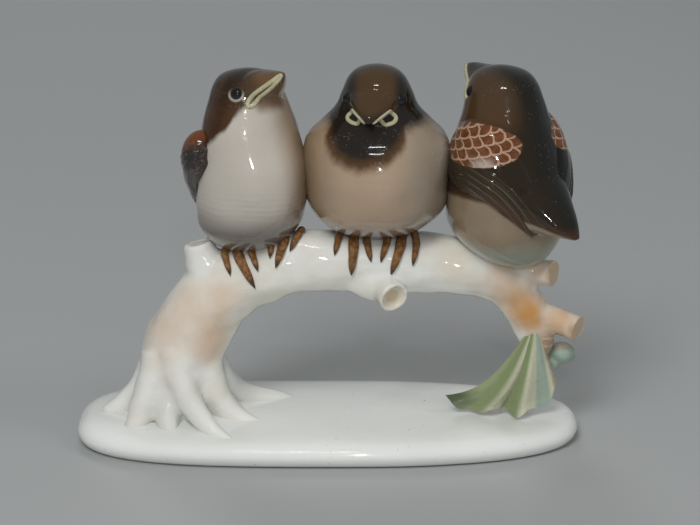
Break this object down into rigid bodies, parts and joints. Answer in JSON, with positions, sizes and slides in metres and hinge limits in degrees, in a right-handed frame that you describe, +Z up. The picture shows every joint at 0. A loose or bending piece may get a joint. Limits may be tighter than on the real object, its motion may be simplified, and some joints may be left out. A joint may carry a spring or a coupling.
{
  "type": "porcelain_figurine",
  "caption": "Glazed porcelain figurine of fledgling sparrows side by side on an arched branch over a white oval plinth",
  "frame": {"origin": "centre of the plinth's underside, on the surface that the figurine stands on", "axes": "+X to the viewer's right along the plinth's length, towards the leaf; -Y towards the front, where the middle bird looks; +Z up"},
  "size_m": [0.1607, 0.0626, 0.1217],
  "materials": {
    "plinth": "white gloss glaze",
    "wood": "white gloss glaze with airbrushed cream and peach",
    "wood_ends": "gloss glaze, airbrushed tan",
    "stalk": "gloss glaze, reddish brown",
    "leaf": "gloss glaze, cream and olive green",
    "bud": "gloss glaze, bluish green",
    "left_bird_body": "gloss glaze, grey-white",
    "left_bird_head": "gloss glaze, chestnut brown",
    "left_bird_wing": "gloss glaze, rust",
    "left_bird_tail": "gloss glaze, dark brown",
    "beak": "gloss glaze, cream gape and dark bill",
    "eye": "gloss glaze, black",
    "foot": "gloss glaze, brown with dark claws",
    "middle_bird_body": "gloss glaze, beige pink with a dark brown bib",
    "middle_bird_head": "gloss glaze, dark brown",
    "middle_bird_wing": "gloss glaze, brown",
    "middle_bird_tail": "gloss glaze, dark brown",
    "right_bird_body": "gloss glaze, grey-pink belly and dark brown back",
    "right_bird_head": "gloss glaze, dark brown",
    "right_bird_wing": "gloss glaze, dark brown with a scalloped chestnut patch",
    "right_bird_tail": "gloss glaze, dark brown"
  },
  "bodies": {
    "root": {"plinth": "plinth", "trunk": "wood", "branch": "wood", "trunk_stub": "wood", "knot_stub": "wood", "upper_end_stub": "wood_ends", "lower_end_stub": "wood_ends", "leaf_stalk": "stalk", "leaf": "leaf", "bud": "bud", "left_bird_body": "left_bird_body", "left_bird_head": "left_bird_head", "left_bird_left_wing": "left_bird_wing", "left_bird_right_wing": "left_bird_wing", "left_bird_tail": "left_bird_tail", "left_bird_upper_beak": "beak", "left_bird_lower_beak": "beak", "left_bird_left_eye": "eye", "left_bird_right_eye": "eye", "left_bird_left_foot": "foot", "left_bird_right_foot": "foot", "middle_bird_body": "middle_bird_body", "middle_bird_head": "middle_bird_head", "middle_bird_left_wing": "middle_bird_wing", "middle_bird_right_wing": "middle_bird_wing", "middle_bird_tail": "middle_bird_tail", "middle_bird_upper_beak": "beak", "middle_bird_lower_beak": "beak", "middle_bird_left_eye": "eye", "middle_bird_right_eye": "eye", "middle_bird_left_foot": "foot", "middle_bird_right_foot": "foot", "right_bird_body": "right_bird_body", "right_bird_head": "right_bird_head", "right_bird_left_wing": "right_bird_wing", "right_bird_right_wing": "right_bird_wing", "right_bird_tail": "right_bird_tail", "right_bird_upper_beak": "beak", "right_bird_lower_beak": "beak", "right_bird_left_eye": "eye", "right_bird_right_eye": "eye", "right_bird_left_foot": "foot", "right_bird_right_foot": "foot"}
  },
  "joints": []
}
